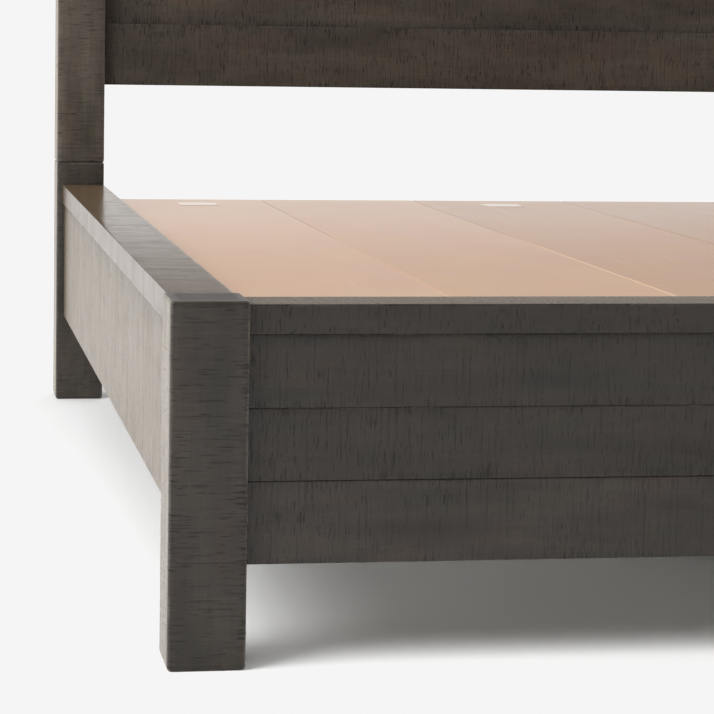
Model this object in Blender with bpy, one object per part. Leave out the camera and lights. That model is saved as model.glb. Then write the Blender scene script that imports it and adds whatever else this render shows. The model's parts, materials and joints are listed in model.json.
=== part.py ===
"""A queen-size bed frame in dark stained wood: a planked headboard and footboard between square posts, capped
side rails, and a flat deck that lies on cross slats and a centre beam.

Metres. The foot end faces -Y, the head end +Y, and +Z is up. The origin is on the floor, under the middle of
the frame. Left and right are as seen from the foot end, so left is -X.
"""

from math import pi

import bmesh
import bpy
from mathutils import Vector

for leftover in list(bpy.data.objects):
    bpy.data.objects.remove(leftover, do_unlink=True)

# The mattress that the frame holds, and the room left round it.
MATTRESS_WIDTH = 1.524
MATTRESS_LENGTH = 2.032
MATTRESS_CLEARANCE = 0.008

# Clearances. Pieces that touch keep TOUCH_GAP, and each other fit has its own.
TOUCH_GAP = 0.0003
DECK_EDGE_GAP = 0.002
DECK_SEAM_GAP = 0.0015
SLAT_END_GAP = 0.002
BEAM_END_GAP = 0.003
BOLT_HEAD_GAP = 0.002
BRACKET_DROP = 0.010

# Square posts. A back leg and the headboard post above it are two lengths of the same stock.
POST_SIZE = 0.092
POST_ARRIS = 0.003
FRONT_POST_HEIGHT = 0.431
BACK_LEG_RISE = 0.0373
HEADBOARD_HEIGHT = 1.220
POST_DOWEL_RADIUS = 0.010
POST_DOWEL_LENGTH = 0.080

# Rounding of sawn boards, and chamfers on round pieces.
BOARD_ARRIS = 0.0015
ROUND_CHAMFER = 0.001

# Tongue and groove along the planks, and tenons at the ends of the rails.
TONGUE_HEIGHT = 0.006
TONGUE_THICKNESS = 0.006
TENON_LENGTH = 0.020
TENON_SHOULDER = 0.025

# Footboard, downwards from its cap. Each set-back is measured from the posts' front faces.
FOOT_CAP_DROP = 0.005
FOOT_CAP_THICKNESS = 0.035
FOOT_CAP_SETBACK = 0.012
FOOT_PLANK_HEIGHTS = {"top": 0.0865, "middle": 0.0850, "bottom": 0.0982}
FOOT_PLANK_SETBACKS = {"top": 0.0162, "middle": 0.0150, "bottom": 0.0162}
FOOT_PLANK_THICKNESS = 0.020
FOOT_BACKER_THICKNESS = 0.018
FOOT_BACKER_LIFT = 0.010

# Side rails: a flat cap on an upright board, with a cleat along the inside.
SIDE_CAP_DROP = 0.007
SIDE_CAP_THICKNESS = 0.036
SIDE_CAP_SETBACK = 0.011
SIDE_CAP_OVERHANG = 0.004
SIDE_BOARD_THICKNESS = 0.022
SIDE_BOARD_HEIGHT = 0.2217
CLEAT_SIZE = 0.040

# Headboard. A thick bottom rail, planks that fill the height up to the cap, and battens behind them.
HEADBOARD_LIFT = 0.152
HEAD_RAIL_HEIGHT = 0.120
HEAD_RAIL_THICKNESS = 0.032
HEAD_RAIL_SETBACK = 0.026
HEAD_PLANK_COUNT = 4
HEAD_PLANK_THICKNESS = 0.020
HEAD_PLANK_SETBACK = 0.038
HEAD_CAP_DROP = 0.005
HEAD_CAP_THICKNESS = 0.035
HEAD_CAP_SETBACK = 0.012
BATTEN_WIDTH = 0.070
BATTEN_THICKNESS = 0.018
BATTEN_SPACING = 0.760
LOWER_RAIL_HEIGHT = 0.190
LOWER_RAIL_THICKNESS = 0.025
LOWER_RAIL_SETBACK = 0.004

# Deck, slats and centre support.
DECK_RECESS = 0.027
DECK_THICKNESS = 0.012
DECK_PANEL_COUNT = 5
PATCH_WIDTH = 0.075
PATCH_LENGTH = 0.064
PATCH_THICKNESS = 0.001
PATCH_SPACING = 0.600
PATCH_INSET = 0.136
SLAT_COUNT = 5
SLAT_WIDTH = 0.089
SLAT_THICKNESS = 0.020
SLAT_INSET = 0.060
BEAM_WIDTH = 0.045
BEAM_HEIGHT = 0.070
BEAM_SEAT_WIDTH = 0.100
BEAM_SEAT_DEPTH = 0.035
BEAM_SEAT_HEIGHT = 0.040
CENTRE_LEG_SIZE = 0.045
CENTRE_LEG_SPACING = 1.100

# Levelling feet, drawn fully screwed in.
LEVELLER_PAD_RADIUS = 0.020
LEVELLER_PAD_HEIGHT = 0.008
LEVELLER_STEM_RADIUS = 0.004
LEVELLER_STEM_LENGTH = 0.035

# Corner brackets and the bolts that pull them to the posts.
BRACKET_THICKNESS = 0.004
BRACKET_HEIGHT = 0.090
BRACKET_REACH = 0.060
BRACKET_MARGIN = 0.012
BOLT_RADIUS = 0.004
BOLT_LENGTH = 0.045
BOLT_HEAD_RADIUS = 0.0065
BOLT_HEAD_HEIGHT = 0.005
BOLT_SPACING = 0.045
HEX_SOCKET_RADIUS = 0.0030
HEX_SOCKET_DEPTH = 0.003

# How far a cutter stands out of the face that it enters, and how close points are before they weld.
CUT_OVERSHOOT = 0.004
WELD_DISTANCE = 0.00001
ROUND_SIDES = 24
SMOOTH_ANGLE = 0.6

# Plan: distances from the middle of the frame to the faces that other pieces line up with.
inner_x = MATTRESS_WIDTH / 2 + MATTRESS_CLEARANCE
outer_x = inner_x + POST_SIZE
inner_y = MATTRESS_LENGTH / 2 + MATTRESS_CLEARANCE
outer_y = inner_y + POST_SIZE
side_cap_outer = outer_x - SIDE_CAP_SETBACK
side_board_outer = side_cap_outer - SIDE_CAP_OVERHANG
side_board_inner = side_board_outer - SIDE_BOARD_THICKNESS

# Levels, downwards from the tops of the posts.
foot_cap_top = FRONT_POST_HEIGHT - FOOT_CAP_DROP
foot_cap_bottom = foot_cap_top - FOOT_CAP_THICKNESS
side_cap_top = FRONT_POST_HEIGHT - SIDE_CAP_DROP
side_cap_bottom = side_cap_top - SIDE_CAP_THICKNESS
side_board_top = side_cap_bottom - TOUCH_GAP
deck_top = side_cap_top - DECK_RECESS
deck_bottom = deck_top - DECK_THICKNESS
slat_top = deck_bottom - TOUCH_GAP
slat_bottom = slat_top - SLAT_THICKNESS
support_top = slat_bottom - TOUCH_GAP
cleat_bottom = support_top - CLEAT_SIZE
beam_bottom = support_top - BEAM_HEIGHT
back_leg_top = FRONT_POST_HEIGHT + BACK_LEG_RISE
headboard_bottom = back_leg_top + HEADBOARD_LIFT
head_cap_bottom = HEADBOARD_HEIGHT - HEAD_CAP_DROP - HEAD_CAP_THICKNESS


def finish(name, colour, roughness, metallic=0.0):
    """One plain finish: its linear colour, roughness and metallic value."""
    material = bpy.data.materials.new(name)
    material.use_nodes = True
    shader = material.node_tree.nodes["Principled BSDF"]
    shader.inputs["Base Color"].default_value = (*colour, 1.0)
    shader.inputs["Roughness"].default_value = roughness
    shader.inputs["Metallic"].default_value = metallic
    return material


stained_wood = finish("charcoal stained wood", (0.052, 0.045, 0.040), 0.45)
deck_board = finish("tan plywood", (0.56, 0.36, 0.26), 0.50)
inner_wood = finish("planed poplar", (0.52, 0.38, 0.24), 0.60)
black_wood = finish("black stained hardwood", (0.030, 0.028, 0.026), 0.50)
patch_cloth = finish("pale looped patch", (0.72, 0.66, 0.58), 0.90)
bracket_steel = finish("black zinc bracket steel", (0.060, 0.060, 0.065), 0.40, 1.0)
bolt_steel = finish("bright zinc steel", (0.55, 0.55, 0.57), 0.30, 1.0)
foot_plastic = finish("black nylon", (0.020, 0.020, 0.022), 0.50)


def add_piece(name, mesh, material, place=(0.0, 0.0, 0.0)):
    """Makes a named object of a mesh, and puts it in its place."""
    data = bpy.data.meshes.new(name)
    mesh.to_mesh(data)
    mesh.free()
    if material:
        data.materials.append(material)
    piece = bpy.data.objects.new(name, data)
    piece.location = place
    bpy.context.scene.collection.objects.link(piece)
    return piece


def span(sign, near, far):
    """The stretch between two distances from the middle, on the side that sign gives, lowest first."""
    return tuple(sorted((sign * near, sign * far)))


def board(name, x, y, z, material, arris=BOARD_ARRIS, segments=1):
    """A straight square-cut piece over the spans x, y and z, with its arrises eased."""
    low, high = (Vector(corner) for corner in zip(x, y, z))
    mesh = bmesh.new()
    bmesh.ops.create_cube(mesh, size=1.0)
    bmesh.ops.scale(mesh, vec=high - low, verts=mesh.verts)
    if arris:
        bmesh.ops.bevel(mesh, geom=mesh.edges[:], offset=arris, offset_type="OFFSET", segments=segments,
                        profile=0.5, affect="EDGES", clamp_overlap=True, material=-1)
    return add_piece(name, mesh, material, (low + high) / 2)


def extruded(name, outline, start, travel, material):
    """A piece with one outline all along: a flat face through the outline's points, pushed out by travel."""
    mesh = bmesh.new()
    face = mesh.faces.new([mesh.verts.new(point) for point in outline])
    pushed = bmesh.ops.extrude_face_region(mesh, geom=[face])["geom"]
    corners = [item for item in pushed if isinstance(item, bmesh.types.BMVert)]
    bmesh.ops.translate(mesh, vec=travel, verts=corners)
    bmesh.ops.recalc_face_normals(mesh, faces=mesh.faces)
    return add_piece(name, mesh, material, start)


def turned(name, profile, place, direction, material, sides=ROUND_SIDES):
    """A round piece: a profile of (radius, height) points that starts and ends on the axis, spun about it."""
    mesh = bmesh.new()
    corners = [mesh.verts.new((radius, 0.0, height)) for radius, height in profile]
    edges = [mesh.edges.new(pair) for pair in zip(corners, corners[1:])]
    bmesh.ops.spin(mesh, geom=corners + edges, cent=(0, 0, 0), axis=(0, 0, 1), angle=2 * pi,
                   steps=sides, use_merge=True)
    bmesh.ops.remove_doubles(mesh, verts=mesh.verts, dist=WELD_DISTANCE)
    bmesh.ops.recalc_face_normals(mesh, faces=mesh.faces)
    piece = add_piece(name, mesh, material, place)
    piece.rotation_mode = "QUATERNION"
    piece.rotation_quaternion = Vector((0, 0, 1)).rotation_difference(Vector(direction))
    piece.data.shade_smooth()
    piece.data.set_sharp_from_angle(angle=SMOOTH_ANGLE)
    return piece


def rod_profile(radius, start, end, chamfer=0.0):
    """The profile of a plain rod between two heights."""
    if not chamfer:
        return [(0.0, start), (radius, start), (radius, end), (0.0, end)]
    return [(0.0, start), (radius - chamfer, start), (radius, start + chamfer),
            (radius, end - chamfer), (radius - chamfer, end), (0.0, end)]


def cut(piece, cutter):
    """Takes the cutter's shape out of the piece, and leaves the cutter as a wire guide."""
    cutter.hide_render = True
    cutter.display_type = "WIRE"
    hole = piece.modifiers.new(cutter.name, "BOOLEAN")
    hole.operation = "DIFFERENCE"
    hole.solver = "EXACT"
    hole.object = cutter


def drill(piece, label, mouth, inward, radius, depth, sides=ROUND_SIDES):
    """A blind round hole with its mouth at a point, going inward."""
    profile = rod_profile(radius, -CUT_OVERSHOOT, depth)
    cut(piece, turned(f"cut_{piece.name}_{label}", profile, mouth, inward, None, sides))


def mortise(post, sign, y, z):
    """The slot for a rail's tenon, in the inner face of a post on the side that sign gives."""
    x = span(sign, inner_x - CUT_OVERSHOOT, inner_x + TENON_LENGTH + TOUCH_GAP)
    wide = (y[0] - TOUCH_GAP, y[1] + TOUCH_GAP)
    tall = (z[0] - TOUCH_GAP, z[1] + TOUCH_GAP)
    cut(post, board(f"cut_{post.name}_mortise", x, wide, tall, None, arris=0.0))


def tenon_span(z):
    """The heights of the tenon at the ends of a rail that covers z."""
    return z[0] + TENON_SHOULDER, z[1] - TENON_SHOULDER


def tenoned_rail(name, y, z, material):
    """A rail from post to post, with a tenon between shoulders at each end."""
    low, high = z
    tenon_low, tenon_high = tenon_span(z)
    end = inner_x - TOUCH_GAP
    tip = inner_x + TENON_LENGTH
    right = [(end, low), (end, tenon_low), (tip, tenon_low), (tip, tenon_high), (end, tenon_high), (end, high)]
    left = [(-x, height) for x, height in reversed(right)]
    outline = [(x, 0.0, height) for x, height in right + left]
    return extruded(name, outline, (0.0, y[0], 0.0), (0.0, y[1] - y[0], 0.0), material)


def tongued_board(name, y, z, tongue_y, material, tongue=True, groove=True):
    """A board from post to post with a tongue along its top and a groove along its bottom, centred on tongue_y.

    Its front arrises are eased, and so are a cap's back ones, where there is no tongue above.
    """
    front, back = y
    low, high = z
    half = TONGUE_THICKNESS / 2
    slack = half + TOUCH_GAP
    slot_top = low + TONGUE_HEIGHT + TOUCH_GAP
    outline = [(front, low + BOARD_ARRIS), (front + BOARD_ARRIS, low)]
    if groove:
        outline += [(tongue_y - slack, low), (tongue_y - slack, slot_top)]
        outline += [(tongue_y + slack, slot_top), (tongue_y + slack, low)]
    outline += [(back, low)]
    if tongue:
        tip = high + TONGUE_HEIGHT - TOUCH_GAP
        outline += [(back, high), (tongue_y + half, high), (tongue_y + half, tip)]
        outline += [(tongue_y - half, tip), (tongue_y - half, high)]
    else:
        outline += [(back, high - BOARD_ARRIS), (back - BOARD_ARRIS, high)]
    outline += [(front + BOARD_ARRIS, high), (front, high - BOARD_ARRIS)]
    end = inner_x - TOUCH_GAP
    points = [(0.0, across, height) for across, height in outline]
    return extruded(name, points, (-end, 0.0, 0.0), (2 * end, 0.0, 0.0), material)


SIDES = (("left", -1), ("right", 1))

# Front posts, one at each corner of the foot end.
front_posts = {}
for side, sign in SIDES:
    front_posts[side] = board(f"front_post_{side}", span(sign, inner_x, outer_x), (-outer_y, -inner_y),
                              (0.0, FRONT_POST_HEIGHT), stained_wood, POST_ARRIS, segments=2)

# Footboard: the cap, three planks under it, and the panel behind that carries the tenons.
foot_tongue_y = -outer_y + FOOT_PLANK_SETBACKS["top"] + FOOT_PLANK_THICKNESS / 2
foot_plank_back = -outer_y + FOOT_PLANK_SETBACKS["top"] + FOOT_PLANK_THICKNESS
tongued_board("footboard_cap", (-outer_y + FOOT_CAP_SETBACK, -inner_y), (foot_cap_bottom, foot_cap_top),
              foot_tongue_y, stained_wood, tongue=False)
plank_top = foot_cap_bottom - TOUCH_GAP
for place, height in FOOT_PLANK_HEIGHTS.items():
    foot_plank_bottom = plank_top - height + TOUCH_GAP
    plank_front = -outer_y + FOOT_PLANK_SETBACKS[place]
    tongued_board(f"footboard_plank_{place}", (plank_front, foot_plank_back), (foot_plank_bottom, plank_top),
                  foot_tongue_y, stained_wood, groove=place != "bottom")
    plank_top = foot_plank_bottom - TOUCH_GAP
backer_front = foot_plank_back + TOUCH_GAP
backer_back = backer_front + FOOT_BACKER_THICKNESS
backer_z = (foot_plank_bottom + FOOT_BACKER_LIFT, foot_cap_bottom - TOUCH_GAP)
tenoned_rail("footboard_backer", (backer_front, backer_back), backer_z, inner_wood)
for side, sign in SIDES:
    mortise(front_posts[side], sign, (backer_front, backer_back), tenon_span(backer_z))

# Back legs and the headboard posts that stand on them, each pair held in line by a steel dowel.
back_legs = {}
headboard_posts = {}
for side, sign in SIDES:
    post_x = span(sign, inner_x, outer_x)
    back_legs[side] = board(f"back_leg_{side}", post_x, (inner_y, outer_y), (0.0, back_leg_top),
                            stained_wood, POST_ARRIS, segments=2)
    headboard_posts[side] = board(f"headboard_post_{side}", post_x, (inner_y, outer_y),
                                  (back_leg_top + TOUCH_GAP, HEADBOARD_HEIGHT), stained_wood, POST_ARRIS,
                                  segments=2)
    half_length = POST_DOWEL_LENGTH / 2
    joint = Vector((sign * (inner_x + POST_SIZE / 2), inner_y + POST_SIZE / 2, back_leg_top + TOUCH_GAP / 2))
    turned(f"post_dowel_{side}", rod_profile(POST_DOWEL_RADIUS, -half_length, half_length, ROUND_CHAMFER),
           joint, (0, 0, 1), bolt_steel)
    for post, inward in ((back_legs[side], (0, 0, -1)), (headboard_posts[side], (0, 0, 1))):
        drill(post, "dowel", joint, inward, POST_DOWEL_RADIUS + TOUCH_GAP, half_length + TOUCH_GAP)

# Headboard: the bottom rail, the planks above it, the cap, and two battens behind the planks.
rail_front = inner_y + HEAD_RAIL_SETBACK
rail_back = rail_front + HEAD_RAIL_THICKNESS
head_plank_front = inner_y + HEAD_PLANK_SETBACK
head_plank_back = head_plank_front + HEAD_PLANK_THICKNESS
head_rail_top = headboard_bottom + HEAD_RAIL_HEIGHT
head_rail_z = (headboard_bottom, head_rail_top)
bottom_rail = tenoned_rail("headboard_bottom_rail", (rail_front, rail_back), head_rail_z, stained_wood)
for side, sign in SIDES:
    mortise(headboard_posts[side], sign, (rail_front, rail_back), tenon_span(head_rail_z))
head_tongue_y = (head_plank_front + head_plank_back) / 2
plank_pitch = (head_cap_bottom - head_rail_top) / HEAD_PLANK_COUNT
for number in range(HEAD_PLANK_COUNT):
    plank_bottom = head_rail_top + number * plank_pitch + TOUCH_GAP
    plank_top = head_rail_top + (number + 1) * plank_pitch
    if number == HEAD_PLANK_COUNT - 1:
        plank_top -= TOUCH_GAP
    tongued_board(f"headboard_plank_{number + 1}", (head_plank_front, head_plank_back),
                  (plank_bottom, plank_top), head_tongue_y, stained_wood, groove=number > 0)
tongued_board("headboard_cap", (inner_y + HEAD_CAP_SETBACK, outer_y - HEAD_CAP_SETBACK),
              (head_cap_bottom, head_cap_bottom + HEAD_CAP_THICKNESS), head_tongue_y, stained_wood,
              tongue=False)
batten_back = head_plank_back + TOUCH_GAP + BATTEN_THICKNESS
for side, sign in SIDES:
    batten_middle = sign * BATTEN_SPACING / 2
    board(f"headboard_batten_{side}", (batten_middle - BATTEN_WIDTH / 2, batten_middle + BATTEN_WIDTH / 2),
          (head_plank_back + TOUCH_GAP, batten_back), (head_rail_top + TOUCH_GAP, head_cap_bottom - TOUCH_GAP),
          stained_wood)

# The lower rail ties the back legs together under the end of the deck.
lower_rail_front = inner_y + LOWER_RAIL_SETBACK
lower_rail_y = (lower_rail_front, lower_rail_front + LOWER_RAIL_THICKNESS)
lower_rail_z = (slat_top - LOWER_RAIL_HEIGHT, slat_top)
tenoned_rail("head_lower_rail", lower_rail_y, lower_rail_z, stained_wood)
for side, sign in SIDES:
    mortise(back_legs[side], sign, lower_rail_y, tenon_span(lower_rail_z))

# Side rails.
rail_y = (-inner_y + TOUCH_GAP, inner_y - TOUCH_GAP)
for side, sign in SIDES:
    board(f"side_cap_{side}", span(sign, inner_x, side_cap_outer), rail_y, (side_cap_bottom, side_cap_top),
          stained_wood)
    board(f"side_board_{side}", span(sign, side_board_inner, side_board_outer), rail_y,
          (side_board_top - SIDE_BOARD_HEIGHT, side_board_top), stained_wood)
    cleat_outer = side_board_inner - TOUCH_GAP
    board(f"side_cleat_{side}", span(sign, cleat_outer - CLEAT_SIZE, cleat_outer), rail_y,
          (cleat_bottom, support_top), inner_wood)

# Centre beam on its two seats, with two legs and their levelling feet under it.
beam_front = backer_back + BEAM_END_GAP
beam_back = lower_rail_front - BEAM_END_GAP
board("centre_beam", (-BEAM_WIDTH / 2, BEAM_WIDTH / 2), (beam_front, beam_back), (beam_bottom, support_top),
      inner_wood)
seat_top = beam_bottom - TOUCH_GAP
seats = (("foot", backer_back + TOUCH_GAP, 1), ("head", lower_rail_front - TOUCH_GAP, -1))
for end, face_y, inward in seats:
    seat_y = tuple(sorted((face_y, face_y + inward * BEAM_SEAT_DEPTH)))
    board(f"beam_seat_{end}", (-BEAM_SEAT_WIDTH / 2, BEAM_SEAT_WIDTH / 2), seat_y,
          (seat_top - BEAM_SEAT_HEIGHT, seat_top), inner_wood)
leg_bottom = LEVELLER_PAD_HEIGHT + TOUCH_GAP
half_leg = CENTRE_LEG_SIZE / 2
leveller_profile = [(0.0, 0.0), (LEVELLER_PAD_RADIUS - ROUND_CHAMFER, 0.0),
                    (LEVELLER_PAD_RADIUS, ROUND_CHAMFER),
                    (LEVELLER_PAD_RADIUS, LEVELLER_PAD_HEIGHT - ROUND_CHAMFER),
                    (LEVELLER_PAD_RADIUS - ROUND_CHAMFER, LEVELLER_PAD_HEIGHT),
                    (LEVELLER_STEM_RADIUS, LEVELLER_PAD_HEIGHT),
                    (LEVELLER_STEM_RADIUS, LEVELLER_PAD_HEIGHT + LEVELLER_STEM_LENGTH - ROUND_CHAMFER),
                    (LEVELLER_STEM_RADIUS - ROUND_CHAMFER, LEVELLER_PAD_HEIGHT + LEVELLER_STEM_LENGTH),
                    (0.0, LEVELLER_PAD_HEIGHT + LEVELLER_STEM_LENGTH)]
for end, end_sign in (("foot", -1), ("head", 1)):
    leg_y = end_sign * CENTRE_LEG_SPACING / 2
    leg = board(f"centre_leg_{end}", (-half_leg, half_leg), (leg_y - half_leg, leg_y + half_leg),
                (leg_bottom, seat_top), black_wood)
    drill(leg, "bore", (0.0, leg_y, leg_bottom), (0, 0, 1), LEVELLER_STEM_RADIUS + TOUCH_GAP,
          LEVELLER_STEM_LENGTH + TOUCH_GAP)
    turned(f"leveller_{end}", leveller_profile, (0.0, leg_y, 0.0), (0, 0, 1), foot_plastic)

# Cross slats, from cleat to cleat and over the beam.
slat_end = side_board_inner - SLAT_END_GAP
slat_reach = inner_y - SLAT_INSET
for number in range(SLAT_COUNT):
    slat_middle = -slat_reach + number * 2 * slat_reach / (SLAT_COUNT - 1)
    board(f"cross_slat_{number + 1}", (-slat_end, slat_end),
          (slat_middle - SLAT_WIDTH / 2, slat_middle + SLAT_WIDTH / 2), (slat_bottom, slat_top), inner_wood)

# Deck panels side by side between the caps, with a looped patch near the head end of every second one.
deck_width = 2 * (inner_x - DECK_EDGE_GAP)
panel_width = (deck_width - (DECK_PANEL_COUNT - 1) * DECK_SEAM_GAP) / DECK_PANEL_COUNT
deck_y = (-inner_y + DECK_EDGE_GAP, inner_y - DECK_EDGE_GAP)
for number in range(DECK_PANEL_COUNT):
    panel_left = -deck_width / 2 + number * (panel_width + DECK_SEAM_GAP)
    board(f"deck_panel_{number + 1}", (panel_left, panel_left + panel_width), deck_y, (deck_bottom, deck_top),
          deck_board, arris=BOARD_ARRIS / 2)
patch_bottom = deck_top + TOUCH_GAP
patch_middle_y = inner_y - PATCH_INSET
for name, column in (("left", -1), ("middle", 0), ("right", 1)):
    patch_x = column * PATCH_SPACING
    board(f"deck_patch_{name}", (patch_x - PATCH_WIDTH / 2, patch_x + PATCH_WIDTH / 2),
          (patch_middle_y - PATCH_LENGTH / 2, patch_middle_y + PATCH_LENGTH / 2),
          (patch_bottom, patch_bottom + PATCH_THICKNESS), patch_cloth, arris=0.0)

# Angle brackets inside the four corners. One leg lies on the side board, the other is bolted to the post.
bolt_profile = [(0.0, -BOLT_LENGTH), (BOLT_RADIUS - ROUND_CHAMFER, -BOLT_LENGTH),
                (BOLT_RADIUS, ROUND_CHAMFER - BOLT_LENGTH), (BOLT_RADIUS, 0.0), (BOLT_HEAD_RADIUS, 0.0),
                (BOLT_HEAD_RADIUS, BOLT_HEAD_HEIGHT - ROUND_CHAMFER),
                (BOLT_HEAD_RADIUS - ROUND_CHAMFER, BOLT_HEAD_HEIGHT), (0.0, BOLT_HEAD_HEIGHT)]
bracket_top = cleat_bottom - BRACKET_DROP
bracket_z = (bracket_top - BRACKET_HEIGHT, bracket_top)
bracket_outer = side_board_inner - TOUCH_GAP
bracket_face = bracket_outer - BRACKET_THICKNESS
bolt_x = bracket_face - BOLT_HEAD_GAP - BOLT_HEAD_RADIUS
bracket_tip = bolt_x - BRACKET_MARGIN
corners = (("front", -1, front_posts), ("back", 1, back_legs))
for end, end_sign, posts in corners:
    post_face = end_sign * (inner_y - TOUCH_GAP)
    plate_face = end_sign * (inner_y - TOUCH_GAP - BRACKET_THICKNESS)
    leg_end = end_sign * (inner_y - TOUCH_GAP - BRACKET_REACH)
    for side, sign in SIDES:
        outline = [(bracket_outer, post_face), (bracket_tip, post_face), (bracket_tip, plate_face),
                   (bracket_face, plate_face), (bracket_face, leg_end), (bracket_outer, leg_end)]
        points = [(sign * x, y, 0.0) for x, y in outline]
        bracket = extruded(f"corner_bracket_{end}_{side}", points, (0.0, 0.0, bracket_z[0]),
                           (0.0, 0.0, BRACKET_HEIGHT), bracket_steel)
        for level, level_sign in (("lower", -1), ("upper", 1)):
            height = sum(bracket_z) / 2 + level_sign * BOLT_SPACING / 2
            seat = Vector((sign * bolt_x, plate_face - end_sign * TOUCH_GAP, height))
            outward = Vector((0, -end_sign, 0))
            bolt = turned(f"bolt_{end}_{side}_{level}", bolt_profile, seat, outward, bolt_steel)
            drill(bolt, "socket", seat + outward * BOLT_HEAD_HEIGHT, -outward, HEX_SOCKET_RADIUS,
                  HEX_SOCKET_DEPTH, sides=6)
            drill(bracket, level, seat, -outward, BOLT_RADIUS + TOUCH_GAP, BRACKET_THICKNESS + CUT_OVERSHOOT)
            drill(posts[side], level, seat, -outward, BOLT_RADIUS + TOUCH_GAP, BOLT_LENGTH + TOUCH_GAP)
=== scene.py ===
"""The looks of a queen-size bed frame in charcoal stained, rough-sawn wood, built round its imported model.

Metres. The foot end faces -Y, the head end +Y, +Z is up, and the floor is at z = 0.
"""

import json
from functools import partial
from math import ceil, pi, radians

import bmesh
import bpy
from mathutils import Matrix, Vector, noise

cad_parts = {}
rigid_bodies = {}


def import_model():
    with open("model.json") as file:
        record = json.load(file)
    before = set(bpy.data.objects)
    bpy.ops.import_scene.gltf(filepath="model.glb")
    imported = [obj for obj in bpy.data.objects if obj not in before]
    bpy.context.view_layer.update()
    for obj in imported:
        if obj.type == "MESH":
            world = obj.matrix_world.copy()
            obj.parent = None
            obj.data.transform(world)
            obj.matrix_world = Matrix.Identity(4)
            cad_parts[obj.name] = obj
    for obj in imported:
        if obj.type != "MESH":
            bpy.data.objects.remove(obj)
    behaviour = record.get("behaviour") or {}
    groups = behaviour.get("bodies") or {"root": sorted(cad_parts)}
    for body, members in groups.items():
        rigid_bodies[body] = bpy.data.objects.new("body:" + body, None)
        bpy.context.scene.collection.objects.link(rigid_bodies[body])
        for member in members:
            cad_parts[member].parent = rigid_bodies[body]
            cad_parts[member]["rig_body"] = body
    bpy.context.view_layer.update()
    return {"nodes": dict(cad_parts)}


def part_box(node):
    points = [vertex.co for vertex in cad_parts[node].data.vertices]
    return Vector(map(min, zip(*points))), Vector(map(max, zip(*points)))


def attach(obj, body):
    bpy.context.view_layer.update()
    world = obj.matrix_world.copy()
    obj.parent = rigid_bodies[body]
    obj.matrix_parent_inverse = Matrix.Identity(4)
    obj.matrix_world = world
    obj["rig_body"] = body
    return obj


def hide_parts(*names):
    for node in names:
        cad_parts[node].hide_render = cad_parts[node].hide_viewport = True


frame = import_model()

# ---------------------------------------------------------------------------------------------------------
# Camera. It stands low in front of the front left post and looks along the bed. The tone curve holds bright
# paper at one flat white, so that the floor runs into the background with no line between them.
# ---------------------------------------------------------------------------------------------------------
CAMERA_PLACE = Vector((-1.166, -3.993, 0.749))
CAMERA_YAW = radians(9.41)
CAMERA_PITCH = radians(5.56)
CAMERA_ROLL = radians(0.95)
CAMERA_REACH = 200.0
LENS = 128.9
SENSOR_WIDTH = 36.0
LENS_SHIFT = (0.05, -0.12)
PAPER_WHITE = 0.913

scene = bpy.context.scene
camera_data = bpy.data.cameras.new("studio_camera")
camera_data.lens = LENS
camera_data.sensor_width = SENSOR_WIDTH
camera_data.shift_x = LENS_SHIFT[0]
camera_data.shift_y = LENS_SHIFT[1]
camera_data.clip_end = CAMERA_REACH
camera = bpy.data.objects.new("studio_camera", camera_data)
scene.collection.objects.link(camera)
camera.matrix_world = (Matrix.Translation(CAMERA_PLACE)
                       @ Matrix.Rotation(-CAMERA_YAW, 4, "Z")
                       @ Matrix.Rotation(pi / 2 - CAMERA_PITCH, 4, "X")
                       @ Matrix.Rotation(CAMERA_ROLL, 4, "Z"))
scene.camera = camera

scene.view_settings.view_transform = "Standard"
scene.view_settings.look = "None"
scene.view_settings.use_curve_mapping = True
tone_curve = scene.view_settings.curve_mapping
tone_curve.extend = "HORIZONTAL"
shades = tone_curve.curves[3].points
shades[1].location = (1.0, PAPER_WHITE)
shades.new(PAPER_WHITE, PAPER_WHITE)
for point in shades:
    point.handle_type = "VECTOR"
tone_curve.update()


# ---------------------------------------------------------------------------------------------------------
# Studio. A seamless floor of matt white paper in a white room, one large soft lamp over the left of the foot
# end, and a card of dark grey felt in front of the bed, which keeps the faces turned to it dark. A second,
# weaker lamp lights only the floor round the card.
# ---------------------------------------------------------------------------------------------------------
ROOM_WHITE = "f5f5f5"
ROOM_STRENGTH = 1.05
PAPER_COLOUR = "fdfdfd"
FLOOR_SIZE = 120.0
CARD_COLOUR = "5a5a5a"
CARD_SIZE = (12.0, 2.8)
CARD_PLACE = (0.0, -5.2, 1.61)
LAMP_PLACE = (-4.0, -2.6, 3.4)
LAMP_AIM = (0.0, 0.0, 0.3)
LAMP_SIZE = 3.0
LAMP_ENERGY = 200.0
FLOOR_LAMP_PLACE = (0.0, -6.85, 1.2)
FLOOR_LAMP_SIZE = (16.0, 8.3)
FLOOR_LAMP_SPREAD = radians(70)
FLOOR_LAMP_ENERGY = 215.0


def linear(colour):
    """An sRGB hex colour such as "4a423e" as linear red, green, blue and alpha."""
    parts = [int(colour[start:start + 2], 16) / 255 for start in (0, 2, 4)]
    return (*(p / 12.92 if p <= 0.04045 else ((p + 0.055) / 1.055) ** 2.4 for p in parts), 1.0)


def add_node(tree, kind, inputs=None, stops=None, **settings):
    """Adds a node and gives its outputs. An input is a constant or another node's output, and stops are the
    places and colours of a ramp."""
    made = tree.nodes.new("ShaderNode" + kind)
    for name, value in settings.items():
        setattr(made, name, value)
    for name, value in (inputs or {}).items():
        if isinstance(value, bpy.types.NodeSocket):
            tree.links.new(value, made.inputs[name])
        else:
            made.inputs[name].default_value = value
    for number, (position, colour) in enumerate(stops or []):
        stop = made.color_ramp.elements[number] if number < 2 else made.color_ramp.elements.new(position)
        stop.position = position
        stop.color = linear(colour)
    return made.outputs


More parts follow.
